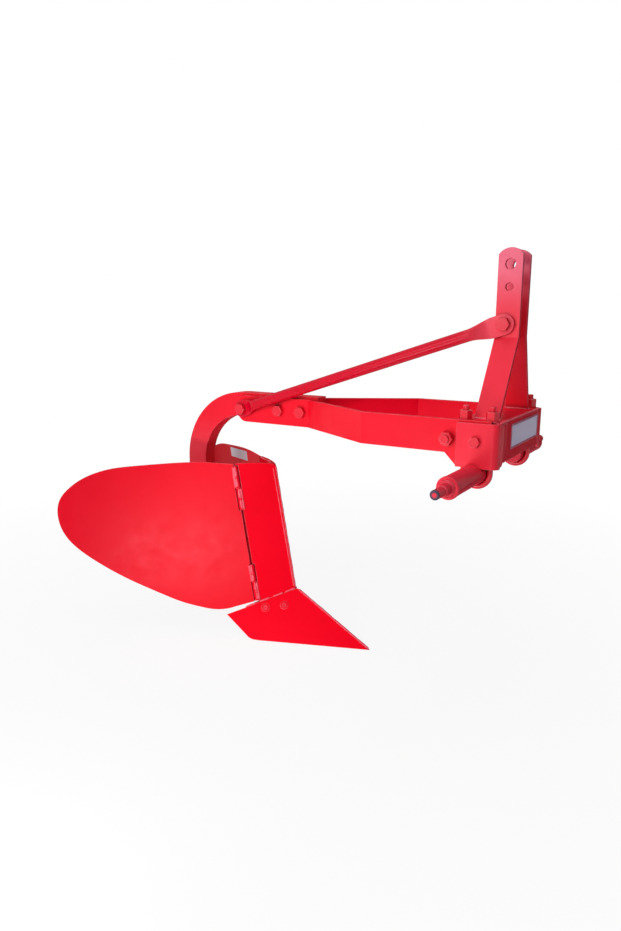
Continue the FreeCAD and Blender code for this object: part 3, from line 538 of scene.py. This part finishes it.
def headstock_welds():
    m = Mesh()
    yb, x0, x1 = deck_hi.y, deck_lo.x, deck_hi.x
    for s in (-1, 1):
        bead(m, [(x0 + 8 * MM, s * yb, deck_top), (x1 - 6 * MM, s * yb, deck_top)], 2.6 * MM, 1.8 * MM, Z)
    web_x = x1 + 2.5 * MM
    bead(m, [(web_x, -yb + 2 * MM, shell_hi.z), (web_x, yb - 2 * MM, shell_hi.z)], 5.0 * MM, 3.0 * MM, Z,
         pitch=6 * MM)
    bead(m, [(x0, -yb + 8 * MM, deck_top), (x0, yb - 8 * MM, deck_top)], 2.4 * MM, 1.5 * MM, Z)
    # lugs on the rear wall
    wall_rear = hi("headstock_rear_wall").x - WALL_T
    z0, z1 = mid("lug_bolt_right").z - 27 * MM, mid("lug_bolt_right").z + 27 * MM
    yi = hi("headstock_rear_wall").y - 10 * MM
    for s in (-1, 1):
        bead(m, [(wall_rear, s * yi, z0), (wall_rear, s * yi, z1)], 3.2 * MM, side=(-1, -s, 0))
    # saddles to the deck and the front web, seen from below
    sy = 132 * MM
    for s in (-1, 1):
        for k in (-1, 1):
            y = s * sy + k * 6 * MM
            bead(m, [(x0 + 12 * MM, y, deck_lo.z), (x1 - 4 * MM, y, deck_lo.z)], 2.6 * MM, side=(0, k, -1))
            bead(m, [(x1, y, deck_lo.z - 6 * MM), (x1, y, shell_lo.z + 18 * MM)], 2.6 * MM, side=(-1, k, 0))
    dabs = [(5, shell_lo.y + 7 * MM), (9, shell_lo.y + 14 * MM), (7, shell_hi.y - 9 * MM)]
    blobs(m, [(front_x - back * MM, y, shell_hi.z) for back, y in dabs], 2.6 * MM, Z)
    m.piece("welds_headstock", WELD, "frame", smooth=60)


def mast_welds():
    for side in ("right", "left"):
        m = Mesh()
        node = "mast_" + side
        foot = verts(node, lambda v: v.z < deck_top + 0.5 * MM)
        x0, x1 = min(v.x for v in foot), max(v.x for v in foot)
        y0, y1 = min(v.y for v in foot), max(v.y for v in foot)
        for y, k in ((y0, -1), (y1, 1)):
            bead(m, [(x0 - 3 * MM, y, deck_top), (x1 + 1 * MM, y, deck_top)], 5.4 * MM, 4.4 * MM, (0, k, 1),
                 uneven=0.3)
        for x, k in ((x0, -1), (x1, 1)):
            bead(m, [(x, y0, deck_top), (x, y1, deck_top)], 4.6 * MM, 3.8 * MM, (k, 0, 1), uneven=0.3)
        c = mid("mast_spacer")
        r = hi("mast_spacer").z - c.z
        y = hi("mast_spacer").y if side == "left" else lo("mast_spacer").y
        k = -1 if side == "left" else 1
        ring = [(c.x + r * math.cos(q), y, c.z + r * math.sin(q)) for q in angles(24) + [2 * math.pi]]
        bead(m, ring, 2.4 * MM, side=(0, k, 0), ends=0.1)
        m.piece("welds_mast_" + side, WELD, "frame", smooth=60)


headstock_welds()
mast_welds()


def ease(x, x0, x1):
    """0 before x0, 1 after x1, smooth between."""
    t = min(1.0, max(0.0, (x - x0) / (x1 - x0)))
    return t * t * (3 - 2 * t)


def forged_stay():
    """Stay drawn down smoothly from round bar to its flat eyes, in the place of the faceted one."""
    a, b = mid("stay_bolt_rear"), mid("stay_bolt_front")
    a.y = b.y = 0
    d, length = (b - a).normalized(), (b - a).length
    n = Y.cross(d)
    eye, bar, flat = 25 * MM, 15 * MM, 4.5 * MM
    face_a = hi("stay").y
    face_b = min(v.y for v in verts("mast_right", lambda v: v.z > b.z + bar))
    stations = [-eye * math.cos(math.radians(q)) for q in range(4, 90, 9)]
    x = 0.0
    while x < length / 2:
        stations.append(x)
        x += 4 * MM if x < 100 * MM else 40 * MM
    stations = [(x, x) for x in stations] + [(length - x, x) for x in reversed(stations)]
    m, rings = Mesh(), []
    for along, x in stations:
        half = math.sqrt(max(0.0, eye ** 2 - min(0.0, x) ** 2))
        near, away = (24 * MM, 86 * MM) if along > length / 2 else (14 * MM, 58 * MM)
        half += (bar - eye) * ease(x, near, away)
        thick = flat + (bar - flat) * ease(x, near + 10 * MM, away + 4 * MM)
        power = 2 / (7 - 5 * ease(x, near + 6 * MM, away + 2 * MM))
        slide = min(1.0, max(0.0, (along - 70 * MM) / (length - 140 * MM)))
        c = a + d * along + Y * (face_a + (face_b - face_a) * slide - thick)
        ring = []
        for q in angles(40):
            u, v = math.cos(q), math.sin(q)
            wide = half * math.copysign(abs(u) ** power, u)
            deep = thick * math.copysign(abs(v) ** power, v)
            ring.append(c + n * wide + Y * deep)
        rings.append(ring)
    m.rings(rings)
    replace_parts(m.piece("stay_forged", STAY, "frame", smooth=50), "stay")


def pin_collars():
    """Rolled collar at each hitch pin's shoulder and a fillet at the foot of its seat."""
    for side, s in (("right", -1), ("left", 1)):
        node = "hitch_pin_" + side
        c = mid(node)
        r = hi(node).z - c.z
        reach = [(abs(v.y), math.hypot(v.x - c.x, v.z - c.z)) for v in verts(node)]
        shoulder = max(y for y, q in reach if q > 0.8 * r)
        seat = max(q for y, q in reach if y > shoulder + 5 * MM)
        collar = [(-11, r - 1 * MM), (-10.6, r + 0.5 * MM), (-9, r + 0.9 * MM), (-2.6, r + 0.9 * MM),
                  (-0.6, r + 0.1 * MM), (0.5, r - 2 * MM), (0.5, r - 5.5 * MM), (0, r - 6 * MM),
                  (-6, r - 7 * MM)]
        fillet = [(-0.4, seat + 5 * MM), (0.5, seat + 4.5 * MM), (2, seat + 1.6 * MM),
                  (5.5, seat + 0.15 * MM), (6, seat - 0.5 * MM), (2, seat - 1 * MM)]
        for name, profile in (("pin_collar_", collar), ("pin_fillet_", fillet)):
            m = Mesh()
            m.rings([[Vector((c.x + q * math.cos(t), s * (shoulder + y * MM), c.z + q * math.sin(t)))
                      for y, q in profile] for t in angles(56)], loop=True)
            m.piece(name + side, PIN, "frame", smooth=50)


forged_stay()
pin_collars()


# ------------------------------------------------------------------ bolts
def hardware():
    m = Mesh()
    # U-bolts: threads above the nuts, washers under them
    for side in ("right", "left"):
        node = "ubolt_" + side
        c = mid(node)
        legs = sorted({round(v.x, 4) for v in verts(node, lambda v: v.z > hi(node).z - 1 * MM)})
        x_mid = (legs[0] + legs[-1]) / 2
        r = 7 * MM
        for k in (-1, 1):
            x = x_mid + k * ((legs[-1] - legs[0]) / 2 - r)
            top = hi(node).z
            thread(m, (x, c.y, deck_top + 19.5 * MM), Z, r, top - deck_top - 20.2 * MM, 2.0 * MM)
            washer(m, (x, c.y, deck_top), Z, 11.5 * MM, 16.0 * MM, 2.6 * MM)
    # through bolts: threads outside their nuts
    for node, r, pitch in (("shank_bolt_rear", 10, 2.5), ("shank_bolt_front", 10, 2.5),
                           ("stay_bolt_rear", 10, 2.5), ("stay_bolt_front", 10, 2.5)):
        c = mid(node)
        end = hi(node).y
        thread(m, (c.x, end - 7.2 * MM, c.z), Y, r * MM, 6.6 * MM, pitch * MM)
    for side, s in (("right", -1), ("left", 1)):
        c = mid("lug_bolt_" + side)
        end = hi("lug_bolt_" + side).y if s > 0 else lo("lug_bolt_" + side).y
        thread(m, (c.x, end - s * 7.2 * MM, c.z), (0, s, 0), 10 * MM, 6.6 * MM, 2.5 * MM)
        c = mid("cheek_bolt_" + side)
        end = lo("cheek_bolt_" + side).y if s > 0 else hi("cheek_bolt_" + side).y
        thread(m, (c.x, end + s * 5.8 * MM, c.z), (0, -s, 0), 8 * MM, 5.3 * MM, 2.0 * MM)
    m.piece("bolt_threads_frame", RED, "frame", smooth=25)


hardware()

# ------------------------------------------------------------------ body: hinge line, welds, label
HINGE = JOINTS["right_wing_hinge"]
axis = Vector(HINGE["axis"]).normalized()
if axis.z < 0:
    axis = -axis
hinge_at = {}
for side in ("right", "left"):
    j = JOINTS[side + "_wing_hinge"]
    hinge_at[side] = Vector(j["pos_m"])


def along_axis(p, side):
    return (p - hinge_at[side]).dot(axis)


def from_axis(p, side):
    return ((p - hinge_at[side]) - axis * along_axis(p, side)).length


def body_welds():
    # share ridge
    tip = far("share", (1, 0, 0), lambda v: abs(v.y) < 0.3 * MM)
    top = far("share", (0.35, 0, 1), lambda v: abs(v.y) < 0.3 * MM)
    m = Mesh()
    up = (tip - top).cross(Y)
    if up.z < 0:
        up = -up
    d = (tip - top).normalized()
    bead(m, [top + d * 4 * MM, tip - d * 5 * MM], 4.2 * MM, 3.0 * MM, up, pitch=5 * MM)
    # shin of the breast, outside and in
    nose = verts("breast", lambda v: abs(v.y) < 0.3 * MM)
    for pick, r, sign in ((max, 3.0, 1), (min, 4.5, -1)):
        head = pick((v for v in nose if v.z > 400 * MM), key=lambda v: v.x)
        foot = pick((v for v in nose if v.z < 200 * MM), key=lambda v: v.x)
        run = (foot - head).normalized()
        bead(m, [head + run * 3 * MM, foot - run * 6 * MM], r * MM, 0.7 * r * MM, X * sign, pitch=5.5 * MM,
             uneven=0.25)
    # inner top edges
    for s in (-1, 1):
        n = outward("breast", s)
        rear = far("breast", (-1, s, 6))
        front = min((v for v in nose if v.z > 400 * MM), key=lambda v: v.x)
        rear -= n * (rear.dot(n) - front.dot(n))
        run = (rear - front).normalized()
        bead(m, [front + run * 4 * MM, rear - run * 5 * MM], 2.6 * MM, 2.0 * MM, Z - n * 0.6, pitch=5 * MM,
             uneven=0.5)
    # thin beads in pale weld paint along each outer face, a short way back from the shin: they stand in for
    # the highlight beside the rounded shin (painted highlight)
    head, foot = far("breast", (1, 0, 9), lambda v: v.x > -84 * MM), far("breast", (1, 0, -1))
    for s in (-1, 1):
        n = outward("breast", s)
        across = plate_run("breast", "right" if s < 0 else "left")
        off = max(v.dot(n) for v in verts("breast"))
        for p in (head, foot):
            p.y = 0
        line = []
        for p, trim, inset in ((head, 8 * MM, 8 * MM), (foot, -10 * MM, 4.5 * MM)):
            q = p + (foot - head).normalized() * trim
            # onto the face, then back from the shin
            q += n * (off - q.dot(n))
            line.append(q - across * (inset + (q - p).dot(across)))
        bead(m, line, 1.7 * MM, 1.1 * MM, n, pitch=5 * MM, uneven=0.5)
    # breast to share, along the crease between their outer faces
    for s in (-1, 1):
        nb, ns = outward("breast", s), outward("share", s)
        db = max(v.dot(nb) for v in verts("breast"))
        ds = max(v.dot(ns) for v in verts("share"))
        d = nb.cross(ns).normalized()
        d = d if d.x < 0 else -d
        foot = (nb * (db - ds * nb.dot(ns)) + ns * (ds - db * nb.dot(ns))) / (1 - nb.dot(ns) ** 2)
        rear = far("breast", (-0.4, s * 1.0, -3.0))
        start = foot + d * (-foot.y / d.y)
        length = (rear - start).dot(d)
        corner = start + d * length
        tip = far("share", (-1, s, 0.3), lambda v: v.x < -150 * MM and v.z > 40 * MM)
        edge = corner.lerp(tip, 0.42)
        bead(m, [corner + ns * MM * 0.5, edge], 3.0 * MM, 2.2 * MM, nb + ns, pitch=4 * MM, uneven=0.2, ends=6)
        for u, v, r in ((0.03, 0.30, 3.2), (0.36, 0.62, 3.0), (0.70, 0.99, 3.6)):
            ends = [start + d * length * share + (nb + ns) * MM for share in (u, v)]
            bead(m, ends, r * MM, r * 0.8 * MM, nb + ns, pitch=4.4 * MM, uneven=0.25)
    m.piece("welds_share", WELD, "frame", smooth=60)


def hinge_welds():
    for side, s in (("right", -1), ("left", 1)):
        moving, fixed = Mesh(), Mesh()
        for level in ("upper", "lower"):
            for node, mesh, back in (("hinge_barrel_%s_%s" % (level, side), moving, 1),
                                     ("hinge_pintle_%s_%s" % (level, side), fixed, -1)):
                vs = verts(node)
                if node.startswith("hinge_pintle"):
                    vs = [v for v in vs if from_axis(v, side) > 7 * MM]
                h0 = min(along_axis(v, side) for v in vs)
                h1 = max(along_axis(v, side) for v in vs)
                rad = max(from_axis(v, side) for v in vs)
                plate = "wing_" + side if back > 0 else "breast"
                run, normal = plate_run(plate, side), outward(plate, s)
                for k in (1, -1):
                    off = run * (rad * 0.92) + normal * (k * 4.6 * MM)
                    a = hinge_at[side] + axis * (h0 + 1.5 * MM) + off
                    b = hinge_at[side] + axis * (h1 - 1.5 * MM) + off
                    up = (normal * k + run * 0.8).normalized()
                    bead(mesh, [a, b], 4.2 * MM, 3.6 * MM, up, pitch=5 * MM, uneven=0.35, ends=0.8)
                # weld laid over the outside of the knuckle
                skin = hinge_at[side] + normal * (rad - 1.0 * MM) + run * (2 * MM)
                for u, v, r in ((0.06, 0.46, 4.2), (0.54, 0.94, 5.0)):
                    line = [skin + axis * (h0 + (h1 - h0) * share) for share in (u, v)]
                    bead(mesh, line, r * MM, 2.4 * MM, (normal + run * 0.4).normalized(), pitch=6 * MM,
                         uneven=0.45, ends=1.2)
                # and dabs on top of it
                skin = hinge_at[side] + normal * (rad - 1.2 * MM)
                dabs = ((0.93, 1.5), (0.72, 3.5), (0.5, 2.0), (0.30, 3.5), (0.08, 1.0))
                blobs(mesh, [skin + axis * (h0 + (h1 - h0) * u) + run * (w * MM) for u, w in dabs], 3.4 * MM,
                      (normal + run * 0.5).normalized())
        moving.piece("welds_hinge_wing_" + side, WELD, side + "_wing", smooth=60)
        fixed.piece("welds_hinge_breast_" + side, WELD, "frame", smooth=60)


def gap_shade_sheets():
    """Thin sheet on the breast's inner face, behind the gap between breast and wing, standing in for the
    shade seen through that gap.
    """
    for side, s in (("right", -1), ("left", 1)):
        a = hinge_at[side]
        run = plate_run("breast", side)
        normal = outward("breast", s)
        h0 = min(along_axis(v, side) for v in verts("hinge_pintle_lower_" + side)) - 3 * MM
        h1 = max(along_axis(v, side) for v in verts("hinge_barrel_upper_" + side)) - 14 * MM
        section = [(26, -4.2), (17, -4.2), (8, -12.4), (-13, -12.4), (-13.6, -13.2), (-13, -14.0),
                   (7.4, -14.0), (16.4, -5.8), (26, -5.8)]
        m = Mesh()
        m.rings([[a + axis * h + run * (x * MM) + normal * (z * MM) for x, z in section] for h in (h0, h1)])
        m.piece("gap_shade_sheet_" + side, GAP_SHADE_PAINT, "frame", smooth=35)


def outward(node, s):
    """Normal of the largest face of a node that looks out on side s."""
    faces = [f for f in NODES[node].data.polygons if f.normal.y * s > 0.2]
    return max(faces, key=lambda f: f.area).normal.copy()


def plate_run(node, side):
    """Direction along a body plate, away from the hinge line and square to it."""
    run = axis.cross(outward(node, -1 if side == "right" else 1)).normalized()
    away = -1 if node == "breast" else 1
    return run if run.x * away < 0 else -run


body_welds()
hinge_welds()
gap_shade_sheets()


def share_screws():
    """Countersunk heads of the share bolts: a groove round each and a socket in the middle."""
    for place in ("rear", "front"):
        for side, s in (("right", -1), ("left", 1)):
            node = "share_bolt_%s_%s" % (place, side)
            vs = verts(node)
            n = outward("share", s)
            top = max(v.dot(n) for v in vs)
            face = [v for v in vs if v.dot(n) > top - 0.3 * MM]
            c = sum(face, Vector()) / len(face)
            u, w = cross(n)
            r = 13 * MM
            m = Mesh()
            profile = [(1.035, -0.2), (1.02, 0.15), (0.95, 0.75), (0.80, 1.05), (0.42, 1.15), (0.40, 0.2),
                       (0.05, 0.1)]
            m.rings([[c + n * (h * MM) + (u * math.cos(q) + w * math.sin(q)) * (k * r) for q in angles(36)]
                     for k, h in profile])
            m.piece("share_screw_%s_%s" % (place, side), RED, "frame", smooth=50)


def wing_label():
    """Blank pale label on the left wing's inner face, under its upper edge."""
    side = "left"
    run = plate_run("wing_left", side)
    normal = -outward("wing_left", 1)
    vs = verts("wing_left")
    face = max(v.dot(normal) for v in vs)
    a = hinge_at[side]
    flat = [((v - a).dot(run), (v - a).dot(axis)) for v in vs if v.dot(normal) > face - 0.2 * MM]

    def top_at(x):
        """Height of the wing's outline at x, from the chords between its corners."""
        left = [p for p in flat if p[0] <= x]
        right = [p for p in flat if p[0] > x]
        return max(p[1] + (q[1] - p[1]) * (x - p[0]) / (q[0] - p[0]) for p in left for q in right)

    s0, s1 = 116 * MM, 270 * MM
    e0, e1 = top_at(s0), top_at(s1)
    c = (s0 + s1) / 2
    tilt = math.atan2(e1 - e0, s1 - s0)
    w, h = s1 - s0, 33 * MM
    zc = (e0 + e1) / 2 - h / 2 - 6.5 * MM
    origin = a + run * c + axis * zc
    origin += normal * (face - origin.dot(normal))
    d = run * math.cos(tilt) + axis * math.sin(tilt)
    up = axis * math.cos(tilt) - run * math.sin(tilt)
    m = Mesh()
    rings = []
    for off, inset in ((-0.1, 0), (0.12, 0), (0.2, 0.3)):
        rings.append([origin + d * x + up * y + normal * (off * MM)
                      for x, y in rounded(w - 2 * inset * MM, h - 2 * inset * MM, 3 * MM)])
    m.rings(rings)
    m.piece("wing_label_blank", LABEL, "left_wing", "blank_plate", 30)


share_screws()
wing_label()


# ------------------------------------------------------------------ studio
CAM_AT = Vector((1123.8, -1708.2, 964.5)) * MM
CAM_AZ = math.radians(32.299)
CAM_DOWN = math.radians(11.914)
CAM_SENSOR = 36.0
CAM_LENS = 26.848


def camera():
    data = bpy.data.cameras.new("camera")
    data.sensor_width = CAM_SENSOR
    data.lens = CAM_LENS
    data.clip_start, data.clip_end = 0.05, 60.0
    cam = bpy.data.objects.new("camera", data)
    bpy.context.scene.collection.objects.link(cam)
    view = Vector((-math.sin(CAM_AZ) * math.cos(CAM_DOWN), math.cos(CAM_AZ) * math.cos(CAM_DOWN),
                   -math.sin(CAM_DOWN)))
    cam.location = CAM_AT
    cam.rotation_euler = view.to_track_quat("-Z", "Y").to_euler()
    bpy.context.scene.camera = cam


def area(name, at, target, size, power, colour=(1, 1, 1)):
    data = bpy.data.lights.new(name, "AREA")
    data.shape = "RECTANGLE"
    data.size, data.size_y = size
    data.energy = power
    data.color = colour
    lamp = bpy.data.objects.new(name, data)
    bpy.context.scene.collection.objects.link(lamp)
    lamp.location = at
    lamp.rotation_euler = (Vector(target) - Vector(at)).to_track_quat("-Z", "Y").to_euler()
    return lamp


def seen_directly(tree):
    """1 for rays from the camera and for reflected and transmitted rays."""
    path = tree.nodes.new("ShaderNodeLightPath")
    a = tree.nodes.new("ShaderNodeMath")
    a.operation = "MAXIMUM"
    tree.links.new(path.outputs["Is Camera Ray"], a.inputs[0])
    tree.links.new(path.outputs["Is Glossy Ray"], a.inputs[1])
    b = tree.nodes.new("ShaderNodeMath")
    b.operation = "MAXIMUM"
    tree.links.new(a.outputs[0], b.inputs[0])
    tree.links.new(path.outputs["Is Transmission Ray"], b.inputs[1])
    return b.outputs[0]


def studio():
    mesh = bpy.data.meshes.new("floor")
    bm = bmesh.new()
    bmesh.ops.create_grid(bm, x_segments=8, y_segments=8, size=40.0)
    bm.to_mesh(mesh)
    bm.free()
    floor = bpy.data.objects.new("floor", mesh)
    bpy.context.scene.collection.objects.link(floor)
    g = Graph("floor")
    t = g.tree
    g.bsdf.inputs["Base Color"].default_value = (0.86, 0.86, 0.86, 1)
    g.bsdf.inputs["Roughness"].default_value = 0.7
    g.bsdf.inputs["Specular IOR Level"].default_value = 0.1
    glow = g.add("ShaderNodeEmission", Color=(1, 1, 1, 1), Strength=1.0)
    mix = g.add("ShaderNodeMixShader")
    # the shadow shows near the plough and the floor runs out into pure white
    away = g.add("ShaderNodeVectorMath", operation="LENGTH")
    g.link(g.coords.outputs["Object"], away.inputs[0])
    fade = g.add("ShaderNodeMapRange")
    fade.inputs["From Min"].default_value = 0.6
    fade.inputs["From Max"].default_value = 2.2
    fade.inputs["To Min"].default_value = 0.90
    fade.inputs["To Max"].default_value = 1.0
    g.link(away.outputs["Value"], fade.inputs["Value"])
    share = g.add("ShaderNodeMath", operation="MULTIPLY")
    g.link(fade.outputs["Result"], share.inputs[1])
    g.link(seen_directly(t), share.inputs[0])
    g.link(share.outputs[0], mix.inputs["Fac"])
    g.link(g.bsdf.outputs[0], mix.inputs[1])
    g.link(glow.outputs[0], mix.inputs[2])
    g.link(mix.outputs[0], t.nodes["Material Output"].inputs["Surface"])
    floor.data.materials.append(g.mat)

    world = bpy.data.worlds.new("world")
    bpy.context.scene.world = world
    world.use_nodes = True
    wt = world.node_tree
    bg = wt.nodes["Background"]
    bg.inputs["Color"].default_value = (0.93, 0.95, 1.0, 1)
    bg.inputs["Strength"].default_value = 0.16
    white = wt.nodes.new("ShaderNodeBackground")
    white.inputs["Color"].default_value = (1, 1, 1, 1)
    white.inputs["Strength"].default_value = 1.0
    pick = wt.nodes.new("ShaderNodeMixShader")
    wt.links.new(seen_directly(wt), pick.inputs["Fac"])
    wt.links.new(bg.outputs[0], pick.inputs[1])
    wt.links.new(white.outputs[0], pick.inputs[2])
    wt.links.new(pick.outputs[0], wt.nodes["World Output"].inputs["Surface"])

    area("key", (-0.5, -3.2, 1.8), (0, 0, 0.6), (2.2, 1.6), 45.5)
    area("over", (0.0, -0.2, 3.6), (0, 0, 0.4), (2.6, 2.6), 36)
    area("fill", (0.70, -1.7, 0.55), (0.6, -0.15, 0.72), (0.4, 0.4), 1.6)
    area("low_front", (0.05, -1.34, 0.09), (-0.3, -0.15, 0.25), (0.55, 0.16), 5.4)


camera()
studio()
bpy.context.scene.view_settings.view_transform = "Standard"

bpy.context.view_layer.update()
